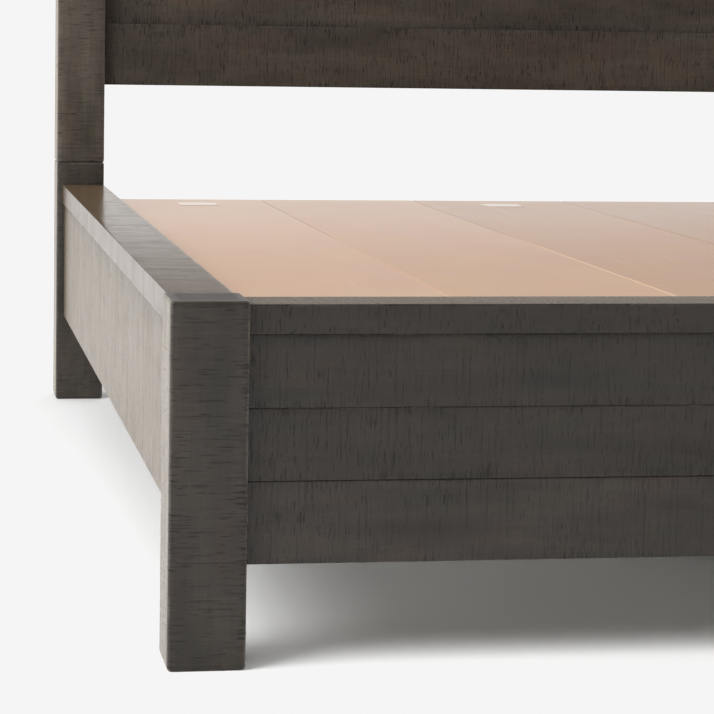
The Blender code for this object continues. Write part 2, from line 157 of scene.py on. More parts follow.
def new_material(name):
    """A material with an empty node tree, and what adds a node to it."""
    material = bpy.data.materials.new(name)
    material.use_nodes = True
    material.node_tree.nodes.clear()
    return material, partial(add_node, material.node_tree)


def studio_sheet(name, size, material, tilt=0.0, place=(0.0, 0.0, 0.0)):
    """A flat sheet of the studio, which isn't part of the bed."""
    mesh = bmesh.new()
    bmesh.ops.create_grid(mesh, x_segments=1, y_segments=1, size=0.5)
    bmesh.ops.scale(mesh, vec=(*size, 1.0), verts=mesh.verts)
    bmesh.ops.rotate(mesh, cent=(0, 0, 0), matrix=Matrix.Rotation(tilt, 3, "X"), verts=mesh.verts)
    bmesh.ops.translate(mesh, vec=place, verts=mesh.verts)
    data = bpy.data.meshes.new(name)
    mesh.to_mesh(data)
    mesh.free()
    data.materials.append(material)
    sheet = bpy.data.objects.new(name, data)
    scene.collection.objects.link(sheet)
    return sheet


world = bpy.data.worlds.new("white_room")
scene.world = world
world.use_nodes = True
world.node_tree.nodes.clear()
room = add_node(world.node_tree, "Background", {"Color": linear(ROOM_WHITE), "Strength": ROOM_STRENGTH})
add_node(world.node_tree, "OutputWorld", {"Surface": room[0]})

# Matt seamless paper: white, with no shine, so that it only takes the bed's soft shadow.
paper, add = new_material("matt white seamless paper")
matt = add("BsdfDiffuse", {"Color": linear(PAPER_COLOUR)})
add("OutputMaterial", {"Surface": matt[0]})
floor = studio_sheet("studio_floor", (FLOOR_SIZE, FLOOR_SIZE), paper)

# Felt on a card: dull and dark grey, so that satin lacquer facing it stays dark.
felt, add = new_material("dark grey felt card")
nap = add("BsdfDiffuse", {"Color": linear(CARD_COLOUR)})
add("OutputMaterial", {"Surface": nap[0]})
card = studio_sheet("dark_card", CARD_SIZE, felt, pi / 2, CARD_PLACE)
card.visible_camera = False

lamp_data = bpy.data.lights.new("soft_lamp", "AREA")
lamp_data.shape = "DISK"
lamp_data.size = LAMP_SIZE
lamp_data.energy = LAMP_ENERGY
lamp = bpy.data.objects.new("soft_lamp", lamp_data)
scene.collection.objects.link(lamp)
lamp.location = LAMP_PLACE
lamp.rotation_mode = "QUATERNION"
lamp.rotation_quaternion = (Vector(LAMP_AIM) - lamp.location).to_track_quat("-Z", "Y")
lamp.visible_camera = False

# A wide low lamp that lights only the floor round the card, so that the card leaves no grey patch on it.
floor_lamp_data = bpy.data.lights.new("floor_lamp", "AREA")
floor_lamp_data.shape = "RECTANGLE"
floor_lamp_data.size = FLOOR_LAMP_SIZE[0]
floor_lamp_data.size_y = FLOOR_LAMP_SIZE[1]
floor_lamp_data.spread = FLOOR_LAMP_SPREAD
floor_lamp_data.energy = FLOOR_LAMP_ENERGY
floor_lamp = bpy.data.objects.new("floor_lamp", floor_lamp_data)
scene.collection.objects.link(floor_lamp)
floor_lamp.location = FLOOR_LAMP_PLACE
floor_lamp.visible_camera = False
lit_by_floor_lamp = bpy.data.collections.new("lit_by_floor_lamp")
lit_by_floor_lamp.objects.link(floor)
floor_lamp.light_linking.receiver_collection = lit_by_floor_lamp


# ---------------------------------------------------------------------------------------------------------
# Posts. Square lengths of poplar, band-sawn, stained charcoal and sealed with satin lacquer. The saw leaves
# short dark ticks across the faces, and the arrises are sanded round and a little worn. A headboard post
# stands on its back leg, the two held in line by a hidden steel dowel.
# ---------------------------------------------------------------------------------------------------------
POST_ARRIS = 0.0035
POST_ARRIS_SEGMENTS = 4
POST_RING_PITCH = 0.003
POST_COLUMN_WIDTH = 0.0065
POST_WEAR = 0.0008
POST_SAW_DEPTH = 0.0001
SAW_LINE_PITCH = 0.004
SAW_LINE_LENGTH = 0.060
SUPPORT_WIDTH = 0.0015
FOOT_WEAR_HEIGHT = 0.007
FOOT_WEAR = 0.0022
# Wear on an arris: long soft dips, and short nicks among them.
WEAR_DIP_LENGTH = 0.045
WEAR_NICK_LENGTH = 0.009
CUT_TOLERANCE = 0.000001
SMOOTH_ANGLE = 0.6
SHARP_EDGE = 0.5
# The cosine past which a face or an edge counts as square on to an axis, or along it.
SQUARE_ON = 0.9
# How pale each piece's stain is drawn: 1 is the usual shade, and more is paler. The headboard's posts are
# palest. At the head end the paler stain is painted light: it stands in for the light falling there.
FRONT_POST_STAIN = 0.90
BACK_LEG_STAIN_AND_LIGHT = 1.3
HEADBOARD_POST_STAIN_AND_LIGHT = 2.08
BRIGHT_ZINC = "c3c6cb"
STAIN_DARK = "2b2723"
STAIN_LIGHT = "3e3832"
STAIN_REDDISH = (1.08, 0.99, 0.96, 1.0)
STAIN_GREENISH = (0.97, 1.03, 0.95, 1.0)
STAIN_IN_TICKS = "0d0b08"
# Pale colour on the arrises: partly rubbed wear, and partly a painted highlight.
RUBBED_WOOD_AND_HIGHLIGHT = "77706a"
FIBRE_WIDTH = 0.0016
COMB_PITCH = 0.0024
END_GRAIN_DARK = "1d1a18"
END_GRAIN_LIGHT = "37322f"
# The painted highlight along the rim of a cut end is this many times as bright as its middle.
RIM_HIGHLIGHT_LIFT = 2.6
LACQUER_IOR = 1.5
# Each board takes its own stretch of the patterns, this many times as far off as the board itself.
STOCK_SHIFT = 17.3
# A Wave texture of scale 1 repeats every 0.314 m.
WAVE_REPEAT = 0.314


def stained_sawn_wood(name, turn, saw_pitch, tick_length, kerf_pitch, blotch=(0.160, 0.035),
                      gloss=(0.22, 0.34), shine=0.27, sheen=0.30, sheen_tint="f2dcc0", streak_depth=0.16,
                      tone_spread=0.25, relief_depth=0.0003, pale_arrises_above=-2.0):
    """Rough-sawn poplar in charcoal stain under satin lacquer: dark, with darker saw ticks and a dull pale
    bloom where it is seen along the surface. turn brings the grain to the pattern's X. gloss is the range of
    roughness. Above a height over the board's middle, given last, the arrises take a pale rubbed colour,
    which is partly wear and partly a painted highlight."""
    material, add = new_material(name)

    # Where a point lies on its own board: along the grain, and how far in from the board's faces.
    place = add("TexCoord")["Object"]
    centre = add("Attribute", attribute_name="board_centre")["Vector"]
    half = add("Attribute", attribute_name="board_half")["Vector"]
    local = add("VectorMath", {0: place, 1: centre}, operation="SUBTRACT")[0]
    turned = add("Mapping", {"Vector": local, "Rotation": turn})[0]
    turned_half = add("Mapping", {"Vector": half, "Rotation": turn})[0]
    size = add("VectorMath", {0: turned_half}, operation="ABSOLUTE")[0]
    reach = add("VectorMath", {0: turned}, operation="ABSOLUTE")[0]
    margin = add("VectorMath", {0: size, 1: reach}, operation="SUBTRACT")[0]
    margins = add("SeparateXYZ", {0: margin})
    edge = add("Math", {0: margins["Y"], 1: margins["Z"]}, operation="MAXIMUM")[0]
    shift = add("VectorMath", {0: centre, "Scale": STOCK_SHIFT}, operation="SCALE")[0]
    stock = add("VectorMath", {0: turned, 1: shift}, operation="ADD")[0]

    def spots(along, across, detail=2.0, roughness=0.5):
        """Soft noise whose spots measure along by across, in metres."""
        cells = add("VectorMath", {0: stock, 1: (along, across, across)}, operation="DIVIDE")[0]
        return add("TexNoise", {"Vector": cells, "Scale": 1.0, "Detail": detail, "Roughness": roughness})[0]

    # Wood fibres, the saw's faint comb, and slow changes of tone and hue in the stain. Real fibres are about
    # 0.1 mm wide, which is too fine to show, so they are drawn 1.6 mm wide.
    grain = spots(0.070, FIBRE_WIDTH, 4.0, 0.6)
    comb = spots(COMB_PITCH, 0.045, 2.0, 0.6)
    tone = spots(*blotch, 2.0)
    hue = spots(0.110, 0.030, 1.0)

    # Saw ticks: thin and part-width, in clusters, and thickest along the arrises. Real ones are about 0.5 mm
    # wide, which is too fine to show, so they are drawn 1 to 2 mm wide.
    near_arris = add("MapRange", {0: edge, 1: 0.003, 2: 0.016, 3: 0.050, 4: 0.0},
                     interpolation_type="SMOOTHSTEP")[0]
    cluster = add("Math", {0: spots(0.070, 0.025, 1.0), 1: 0.30, 2: -0.15}, operation="MULTIPLY_ADD")[0]
    fine = add("Math", {0: spots(saw_pitch, tick_length, 1.0), 1: near_arris}, operation="ADD")[0]
    fine = add("Math", {0: fine, 1: cluster}, operation="ADD")[0]
    ticks = add("MapRange", {0: fine, 1: 0.645, 2: 0.71}, interpolation_type="SMOOTHSTEP")[0]
    bands = add("TexWave", {"Vector": stock, "Scale": WAVE_REPEAT / kerf_pitch, "Distortion": 1.6,
                            "Detail": 1.0, "Detail Scale": 9.0}, bands_direction="X")[1]
    bands = add("MapRange", {0: bands, 1: 0.90, 2: 1.0}, interpolation_type="SMOOTHSTEP")[0]
    broken = add("MapRange", {0: spots(0.012, 0.050, 1.0), 1: 0.50, 2: 0.64, 4: 0.6},
                 interpolation_type="SMOOTHSTEP")[0]
    kerfs = add("Math", {0: bands, 1: broken}, operation="MULTIPLY")[0]
    ticks = add("Math", {0: ticks, 1: kerfs}, operation="MAXIMUM")[0]

    # Stain colour, its streaks, the board's own strength, which at the head end is painted light, the pale
    # rubbed colour on the arrises, which is partly wear and partly a painted highlight, and dark stain lying
    # in the ticks.
    base = add("ValToRGB", {0: tone}, [(0.5 - tone_spread, STAIN_DARK), (0.5 + tone_spread, STAIN_LIGHT)])[0]
    red = add("MapRange", {0: hue, 1: 0.45, 2: 0.75}, interpolation_type="SMOOTHSTEP")[0]
    base = add("Mix", {0: red, 6: base, 7: STAIN_REDDISH}, data_type="RGBA", blend_type="MULTIPLY")[2]
    green = add("MapRange", {0: hue, 1: 0.45, 2: 0.25}, interpolation_type="SMOOTHSTEP")[0]
    base = add("Mix", {0: green, 6: base, 7: STAIN_GREENISH}, data_type="RGBA", blend_type="MULTIPLY")[2]
    lines = add("Math", {0: grain, 1: comb}, operation="ADD")[0]
    streak = add("MapRange", {0: lines, 1: 0.70, 2: 1.30, 3: 1.0 - streak_depth, 4: 1.0 + streak_depth},
                 interpolation_type="SMOOTHSTEP")[0]
    # The board's stain strength, which at the head end is painted light.
    stain_and_light = add("Attribute", attribute_name="board_stain_and_light")["Fac"]
    strength = add("Math", {0: streak, 1: stain_and_light}, operation="MULTIPLY")[0]
    base = add("VectorMath", {0: base, "Scale": strength}, operation="SCALE")[0]
    # How much pale rubbed colour each point takes: partly wear, and partly a painted highlight on the
    # arrises.
    pale_arris = add("MapRange", {0: edge, 1: 0.0005, 2: 0.004, 3: 1.0, 4: 0.0},
                 interpolation_type="SMOOTHSTEP")[0]
    patchy = add("MapRange", {0: spots(0.050, 0.020), 1: 0.42, 2: 0.65, 3: 0.3, 4: 1.0},
                 interpolation_type="SMOOTHSTEP")[0]
    pale_edge_and_highlight = add("Attribute", attribute_name="board_pale_edge_and_highlight")["Fac"]
    pale_arris = add("Math", {0: pale_arris, 1: patchy}, operation="MULTIPLY")[0]
    pale_arris = add("Math", {0: pale_arris, 1: pale_edge_and_highlight}, operation="MULTIPLY")[0]
    # Only over the given height: where that is the board's middle, the pale colour is a painted highlight on
    # the upper arrises.
    upper = add("SeparateXYZ", {0: local})["Z"]
    upper = add("MapRange", {0: upper, 1: pale_arrises_above, 2: pale_arrises_above + 0.01})[0]
    pale_arris = add("Math", {0: pale_arris, 1: upper}, operation="MULTIPLY")[0]
    base = add("Mix", {0: pale_arris, 6: base, 7: linear(RUBBED_WOOD_AND_HIGHLIGHT)}, data_type="RGBA")[2]
    inked = add("Math", {0: ticks, 1: 0.70}, operation="MULTIPLY")[0]
    base = add("Mix", {0: inked, 6: base, 7: linear(STAIN_IN_TICKS)}, data_type="RGBA")[2]

    # Ticks are shallow cuts, and the lacquer is duller in them.
    relief = add("Math", {0: comb, 1: 0.35, 2: 0.0}, operation="MULTIPLY_ADD")[0]
    relief = add("Math", {0: grain, 1: 0.25, 2: relief}, operation="MULTIPLY_ADD")[0]
    relief = add("Math", {0: relief, 1: ticks}, operation="SUBTRACT")[0]
    bump = add("Bump", {"Strength": 1.0, "Distance": relief_depth, "Height": relief})[0]
    dull = add("Math", {0: ticks, 1: 0.5, 2: tone}, operation="MULTIPLY_ADD")[0]
    dull = add("MapRange", {0: dull, 1: 0.3, 2: 0.9, 3: gloss[0], 4: gloss[1]},
               interpolation_type="SMOOTHSTEP")[0]
    shader = add("BsdfPrincipled", {"Base Color": base, "Roughness": dull, "IOR": LACQUER_IOR,
                                    "Specular IOR Level": shine, "Normal": bump, "Sheen Weight": sheen,
                                    "Sheen Roughness": 0.35, "Sheen Tint": linear(sheen_tint)})
    add("OutputMaterial", {"Surface": shader[0]})
    return material


def stained_end_grain(name):
    """Cross-cut poplar drinks more stain than its faces: darker and duller, with fine open pores."""
    material, add = new_material(name)
    place = add("TexCoord")["Object"]
    # Real pores are about 0.1 mm across, which is too fine to show, so they are drawn 1.4 mm across.
    pores = add("TexNoise", {"Vector": place, "Scale": 700.0, "Detail": 2.0})[0]
    rings = add("TexNoise", {"Vector": place, "Scale": 60.0, "Detail": 2.0})[0]
    speckle = add("Math", {0: pores, 1: 0.6, 2: rings}, operation="MULTIPLY_ADD")[0]
    base = add("ValToRGB", {0: speckle}, [(0.60, END_GRAIN_DARK), (0.95, END_GRAIN_LIGHT)])[0]
    # A painted highlight along the rim, with a darker band just inside it and a paler middle.
    centre = add("Attribute", attribute_name="board_centre")["Vector"]
    half = add("Attribute", attribute_name="board_half")["Vector"]
    local = add("VectorMath", {0: place, 1: centre}, operation="SUBTRACT")[0]
    reach = add("VectorMath", {0: local}, operation="ABSOLUTE")[0]
    margins = add("SeparateXYZ", {0: add("VectorMath", {0: half, 1: reach}, operation="SUBTRACT")[0]})
    rim = add("Math", {0: margins["X"], 1: margins["Y"]}, operation="MINIMUM")[0]
    rim = add("MapRange", {0: rim, 1: 0.0, 2: 0.046})[0]
    shade = add("ValToRGB", {0: rim}, [(0.18, "ffffff"), (0.30, "524e4a"), (0.42, "8a8684"),
                                       (1.0, "a8a4a4")])[0]
    base = add("Mix", {0: 1.0, 6: base, 7: shade}, data_type="RGBA", blend_type="MULTIPLY")[2]
    base = add("VectorMath", {0: base, "Scale": RIM_HIGHLIGHT_LIFT}, operation="SCALE")[0]
    bump = add("Bump", {"Strength": 0.6, "Distance": 0.0002, "Height": pores})[0]
    shader = add("BsdfPrincipled", {"Base Color": base, "Roughness": 0.34, "IOR": LACQUER_IOR,
                                    "Specular IOR Level": 0.25, "Normal": bump, "Sheen Weight": 0.12,
                                    "Sheen Roughness": 0.35, "Sheen Tint": linear("e8e0e4")})
    add("OutputMaterial", {"Surface": shader[0]})
    return material


def zinc_steel(name, colour, roughness):
    """Zinc-plated steel: metal with a soft shine, a little uneven where the plating is thicker."""
    material, add = new_material(name)
    place = add("TexCoord")["Object"]
    clouds = add("TexNoise", {"Vector": place, "Scale": 180.0, "Detail": 3.0})[0]
    dull = add("MapRange", {0: clouds, 1: 0.3, 2: 0.7, 3: roughness - 0.06, 4: roughness + 0.08})[0]
    bump = add("Bump", {"Strength": 0.3, "Distance": 0.00005, "Height": clouds})[0]
    shader = add("BsdfPrincipled", {"Base Color": linear(colour), "Metallic": 1.0, "Roughness": dull,
                                    "Normal": bump})
    add("OutputMaterial", {"Surface": shader[0]})
    return material


def block(low, high):
    """A square-cut length of stock between two corners."""
    mesh = bmesh.new()
    bmesh.ops.create_cube(mesh, size=1.0)
    bmesh.ops.scale(mesh, vec=high - low, verts=mesh.verts)
    bmesh.ops.translate(mesh, vec=(low + high) / 2, verts=mesh.verts)
    return mesh


def ease(mesh, arris, segments=3):
    """Rounds every real edge of a piece by the same arris."""
    mesh.normal_update()
    corners = [edge for edge in mesh.edges if edge.calc_face_angle(0.0) > SHARP_EDGE]
    bmesh.ops.bevel(mesh, geom=corners, offset=arris, offset_type="OFFSET", segments=segments, profile=0.5,
                    affect="EDGES", clamp_overlap=True, material=-1)


def slice_at(mesh, axis, places):
    """Cuts right through the mesh, square to an axis, at each place."""
    square = Vector((0.0, 0.0, 0.0))
    square[axis] = 1.0
    for place in places:
        bmesh.ops.bisect_plane(mesh, geom=mesh.verts[:] + mesh.edges[:] + mesh.faces[:], dist=CUT_TOLERANCE,
                               plane_co=square * place, plane_no=square)


def ring_cuts(mesh, axis, pitch):
    """Cuts even rings across the long stretches of a piece, a pitch apart."""
    along = [edge for edge in mesh.edges
             if abs((edge.verts[0].co - edge.verts[1].co)[axis]) > SQUARE_ON * edge.calc_length()]
    longest = max(edge.calc_length() for edge in along)
    along = [edge for edge in along if edge.calc_length() > longest / 2]
    bmesh.ops.subdivide_edges(mesh, edges=along, cuts=ceil(longest / pitch), use_grid_fill=True)


def columns(mesh, axis, low, high, arris, width):
    """Cuts a wide face into columns, with a narrow one beside each arris, which keeps the face flat."""
    inset = arris + SUPPORT_WIDTH
    slice_at(mesh, axis, (low[axis] + inset, high[axis] - inset))
    ring_cuts(mesh, axis, width)


def wear_down(mesh, axis, low, high, arris, depth, saw_depth):
    """Sinks each point a little: the arrises unevenly by depth, and the faces in fine lines by saw_depth."""
    mesh.normal_update()
    for vert in mesh.verts:
        inset = sorted(min(vert.co[i] - low[i], high[i] - vert.co[i]) for i in range(3) if i != axis)
        stretched = Vector(vert.co[i] / (SAW_LINE_PITCH if i == axis else SAW_LINE_LENGTH) for i in range(3))
        sink = saw_depth * max(0.0, noise.noise(stretched) - 0.1)
        if inset[1] < arris:
            dips = noise.noise(vert.co / WEAR_DIP_LENGTH)
            nicks = noise.noise(vert.co / WEAR_NICK_LENGTH)
            sink += depth * max(0.0, 0.5 * dips + 0.3 * nicks + 0.4)
        vert.co -= vert.normal * sink


def finish_piece(name, mesh, materials, node, axis=0, stain_and_light=1.0, pale_edge_and_highlight=0.5):
    """Makes the object of a mesh, gives it its materials, and lets it stand for its CAD node. A second
    material goes on the faces square to the axis, where the grain ends."""
    low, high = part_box(node)
    data = bpy.data.meshes.new(name)
    mesh.to_mesh(data)
    mesh.free()
    for label, value in (("board_centre", (low + high) / 2), ("board_half", (high - low) / 2)):
        attribute = data.attributes.new(label, "FLOAT_VECTOR", "POINT")
        attribute.data.foreach_set("vector", list(value) * len(data.vertices))
    # The pale colour along the edges is partly wear and partly a painted highlight.
    for label, value in (("board_stain_and_light", stain_and_light), ("board_pale_edge_and_highlight", pale_edge_and_highlight)):
        attribute = data.attributes.new(label, "FLOAT", "POINT")
        attribute.data.foreach_set("value", [value] * len(data.vertices))
    for material in materials:
        data.materials.append(material)
    if len(materials) > 1:
        for face in data.polygons:
            face.material_index = int(abs(face.normal[axis]) > SQUARE_ON)
    data.shade_smooth()
    data.set_sharp_from_angle(angle=SMOOTH_ANGLE)
    piece = bpy.data.objects.new(name, data)
    scene.collection.objects.link(piece)
    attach(piece, frame["nodes"][node]["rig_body"])
    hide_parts(node)
    return piece


# Upright stock: ticks about 3 mm apart and up to 50 mm long, and long fainter kerfs 9 mm apart.
upright_wood = stained_sawn_wood("charcoal stained sawn poplar, upright", (0, pi / 2, 0),
                                 saw_pitch=0.0016, tick_length=0.024, kerf_pitch=0.009, sheen=0.36,
                                 relief_depth=0.0002)
end_grain = stained_end_grain("charcoal stained poplar end grain")


def post(name, node, stain_and_light):
    """A square post: rounded arrises, saw lines across its faces, and a foot rounded by years on floors."""
    low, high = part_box(node)
    mesh = block(low, high)
    ease(mesh, POST_ARRIS, POST_ARRIS_SEGMENTS)
    for axis in (0, 1):
        columns(mesh, axis, low, high, POST_ARRIS, POST_COLUMN_WIDTH)
    ring_cuts(mesh, 2, POST_RING_PITCH)
    middle = (low + high) / 2
    for vert in mesh.verts:
        lift = vert.co.z - low.z
        if low.z < FOOT_WEAR_HEIGHT and lift < FOOT_WEAR_HEIGHT:
            pull = FOOT_WEAR * (1.0 - lift / FOOT_WEAR_HEIGHT) ** 2
            reach = vert.co - middle
            for axis in (0, 1):
                vert.co[axis] -= pull * reach[axis] / (high[axis] - middle[axis])
    wear_down(mesh, 2, low, high, POST_ARRIS, POST_WEAR, POST_SAW_DEPTH)
    return finish_piece(name, mesh, [upright_wood, end_grain], node, 2, stain_and_light)


bright_zinc = zinc_steel("bright zinc-plated steel", BRIGHT_ZINC, 0.28)
for side in ("left", "right"):
    post(f"sawn_front_post_{side}", f"front_post_{side}", FRONT_POST_STAIN)
    post(f"sawn_back_leg_{side}", f"back_leg_{side}", BACK_LEG_STAIN_AND_LIGHT)
    post(f"sawn_headboard_post_{side}", f"headboard_post_{side}", HEADBOARD_POST_STAIN_AND_LIGHT)
    frame["nodes"][f"post_dowel_{side}"].data.materials[0] = bright_zinc


# ---------------------------------------------------------------------------------------------------------
# Footboard. A cap and three band-sawn poplar boards between the front posts, tongued along the top and
# grooved along the bottom so that they hold each other in line, on a plain poplar panel behind.
# ---------------------------------------------------------------------------------------------------------
BOARD_ARRIS = 0.0009
BOARD_RING_PITCH = 0.006
BOARD_COLUMN_WIDTH = 0.008
BOARD_WEAR = 0.00025
BOARD_SAW_DEPTH = 0.00012
SANDED_SAW_DEPTH = 0.00002
WIDE_FACE = 0.025
TOUCH_GAP = 0.0003
TONGUE_HEIGHT = 0.006
TONGUE_THICKNESS = 0.006
TONGUE_STOP = 0.004
# The headboard's first board has no groove below, and is pressed this far into the rail under it.
PLANK_SEAT = 0.0009
TENON_LENGTH = 0.020
TENON_SHOULDER = 0.025
POPLAR_DARK = "bfb8a9"
POPLAR_LIGHT = "dad5c9"
POPLAR_GREENISH = (0.92, 0.95, 0.86, 1.0)
WOOD_IOR = 1.5
# Each footboard board: its arris, how strong the pale rubbed colour on its upper arrises is, which is a
# painted highlight and strongest on the middle board, and its stain.
FOOT_BOARDS = {"cap": (0.0009, 0.15, 0.72), "plank_top": (0.0004, 0.05, 0.70),
               "plank_middle": (0.0006, 1.20, 0.70), "plank_bottom": (0.0007, 0.05, 0.88)}


def push_strip(mesh, axis, near, far, facing, travel):
    """Cuts the mesh at two places along an axis, and pushes out the strip between that faces one way."""
    slice_at(mesh, axis, (near, far))
    mesh.normal_update()
    strip = [face for face in mesh.faces
             if face.normal.dot(facing) > SQUARE_ON and near < face.calc_center_median()[axis] < far]
    pushed = bmesh.ops.extrude_discrete_faces(mesh, faces=strip)["faces"]
    tips = list({vert for face in pushed for vert in face.verts})
    bmesh.ops.translate(mesh, vec=facing * travel, verts=tips)
    return tips


def planed_poplar(name, turn):
    """Poplar planed and left bare: pale and matt, with straight soft grain and some greenish heartwood."""
    material, add = new_material(name)
    place = add("TexCoord")["Object"]
    turned = add("Mapping", {"Vector": place, "Rotation": turn})[0]
    # Real fibres are too fine to show, so they are drawn 2.5 mm wide.
    fibres = add("VectorMath", {0: turned, 1: (0.25, 0.0025, 0.0025)}, operation="DIVIDE")[0]
    grain = add("TexNoise", {"Vector": fibres, "Scale": 1.0, "Detail": 4.0, "Roughness": 0.6})[0]
    growth = add("VectorMath", {0: turned, 1: (0.60, 0.030, 0.030)}, operation="DIVIDE")[0]
    heart = add("TexNoise", {"Vector": growth, "Scale": 1.0, "Detail": 2.0})[0]
    base = add("ValToRGB", {0: grain}, [(0.30, POPLAR_DARK), (0.70, POPLAR_LIGHT)])[0]
    greenish = add("MapRange", {0: heart, 1: 0.52, 2: 0.68}, interpolation_type="SMOOTHSTEP")[0]
    base = add("Mix", {0: greenish, 6: base, 7: POPLAR_GREENISH}, data_type="RGBA", blend_type="MULTIPLY")[2]
    dull = add("MapRange", {0: grain, 3: 0.50, 4: 0.66})[0]
    bump = add("Bump", {"Strength": 0.5, "Distance": 0.0002, "Height": grain})[0]
    shader = add("BsdfPrincipled", {"Base Color": base, "Roughness": dull, "IOR": WOOD_IOR, "Normal": bump})
    add("OutputMaterial", {"Surface": shader[0]})
    return material


def board(name, node, axis, materials, stain_and_light=1.0, pale_edge_and_highlight=0.3, arris=BOARD_ARRIS,
          pitch=BOARD_RING_PITCH, saw_depth=BOARD_SAW_DEPTH, tongue_y=None, tenons=False):
    """A board along an axis, eased and lightly worn, with a tongue, groove and tenons where it has them."""
    low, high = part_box(node)
    if "plank" in node:
        high.z -= TONGUE_HEIGHT - TOUCH_GAP
    if node.endswith("plank_1"):
        low.z -= PLANK_SEAT
    if tenons:
        low.x += TENON_LENGTH + TOUCH_GAP
        high.x -= TENON_LENGTH + TOUCH_GAP
    mesh = block(low, high)
    length = high[axis] - low[axis]
    half = TONGUE_THICKNESS / 2
    if "plank" in node:
        tips = push_strip(mesh, 1, tongue_y - half, tongue_y + half, Vector((0, 0, 1)),
                          TONGUE_HEIGHT - TOUCH_GAP)
        bmesh.ops.scale(mesh, vec=(1 - 2 * TONGUE_STOP / length, 1, 1), verts=tips)
    if tongue_y and not node.endswith(("plank_bottom", "plank_1")):
        half += TOUCH_GAP
        tips = push_strip(mesh, 1, tongue_y - half, tongue_y + half, Vector((0, 0, -1)),
                          -TONGUE_HEIGHT - TOUCH_GAP)
        bmesh.ops.scale(mesh, vec=(1 - TONGUE_STOP / length, 1, 1), verts=tips)
    if tenons:
        for facing in (Vector((-1, 0, 0)), Vector((1, 0, 0))):
            push_strip(mesh, 2, low.z + TENON_SHOULDER, high.z - TENON_SHOULDER, facing,
                       TENON_LENGTH + TOUCH_GAP)
    ease(mesh, arris)
    for across in range(3):
        if across != axis and (high - low)[across] > WIDE_FACE:
            columns(mesh, across, low, high, arris, BOARD_COLUMN_WIDTH)
    ring_cuts(mesh, axis, pitch)
    wear_down(mesh, axis, low, high, arris, BOARD_WEAR, saw_depth)
    return finish_piece(name, mesh, materials, node, axis, stain_and_light, pale_edge_and_highlight)


# Boards across the bed: ticks about 3 mm apart and up to 35 mm long, and long fainter kerfs 8 mm apart.
# Only their upper arrises take the pale rubbed colour: a painted highlight on the edges that face up.
cross_wood = stained_sawn_wood("charcoal stained sawn poplar, crosswise", (0, 0, 0),
                               saw_pitch=0.0015, tick_length=0.018, kerf_pitch=0.008, pale_arrises_above=0.0)
# The cap is sanded after sawing, so its ticks are shorter and nearly flat.
cross_cap_wood = stained_sawn_wood("charcoal stained sanded poplar, crosswise cap", (0, 0, 0),
                                   saw_pitch=0.0018, tick_length=0.012, kerf_pitch=0.012,
                                   streak_depth=0.10, relief_depth=0.00006, pale_arrises_above=0.0)
cross_poplar = planed_poplar("planed poplar, crosswise", (0, 0, 0))
top_low, top_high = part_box("footboard_plank_top")
foot_tongue_y = (top_low.y + top_high.y) / 2
for label, (arris, pale_edge_and_highlight, stain_and_light) in FOOT_BOARDS.items():
    face_wood = cross_cap_wood if label == "cap" else cross_wood
    depth = SANDED_SAW_DEPTH if label == "cap" else BOARD_SAW_DEPTH
    board(f"sawn_footboard_{label}", f"footboard_{label}", 0, [face_wood, end_grain], stain_and_light,
          pale_edge_and_highlight, arris, saw_depth=depth, tongue_y=foot_tongue_y)
frame["nodes"]["footboard_backer"].data.materials[0] = cross_poplar


# ---------------------------------------------------------------------------------------------------------
# Headboard. A thick bottom rail tenoned into the posts, four tongued boards above it, a cap, and two upright
# battens behind them. The same sawn poplar as the footboard. A lower rail ties the back legs together.
# ---------------------------------------------------------------------------------------------------------
# The headboard's boards are drawn paler than the footboard's: painted light for the light falling on them.
HEAD_STAIN_AND_LIGHT = 1.42
HEAD_WEAR = 0.0
LOWER_RAIL_STAIN = 1.0
plank_low, plank_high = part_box("headboard_plank_1")
head_tongue_y = (plank_low.y + plank_high.y) / 2

# The headboard's lacquer is rubbed down to a low shine, and its stain is more even than the footboard's.
headboard_wood = stained_sawn_wood("charcoal stained sawn poplar, headboard", (0, 0, 0),
                                   saw_pitch=0.0015, tick_length=0.018, kerf_pitch=0.008,
                                   blotch=(0.240, 0.050), gloss=(0.48, 0.60), shine=0.12, sheen=0.03,
                                   tone_spread=0.32, pale_arrises_above=0.0)
board("sawn_headboard_bottom_rail", "headboard_bottom_rail", 0, [headboard_wood, end_grain],
      HEAD_STAIN_AND_LIGHT, HEAD_WEAR, tenons=True)
for label in ("plank_1", "plank_2", "plank_3", "plank_4", "cap"):
    board(f"sawn_headboard_{label}", f"headboard_{label}", 0, [headboard_wood, end_grain],
          HEAD_STAIN_AND_LIGHT, HEAD_WEAR, tongue_y=head_tongue_y)
for side in ("left", "right"):
    board(f"sawn_headboard_batten_{side}", f"headboard_batten_{side}", 2, [upright_wood, end_grain],
          HEAD_STAIN_AND_LIGHT, HEAD_WEAR)
board("sawn_head_lower_rail", "head_lower_rail", 0, [headboard_wood, end_grain],
      LOWER_RAIL_STAIN, HEAD_WEAR, tenons=True)


# ---------------------------------------------------------------------------------------------------------
# Side rails. A flat cap lies on an upright board, both sawn and stained like the posts, and a cleat of
# planed poplar is screwed along the inside of the board to carry the slats.
# ---------------------------------------------------------------------------------------------------------
RAIL_STAIN = 1.0
RAIL_SAW_DEPTH = 0.00004
HIDDEN_RING_PITCH = 0.040

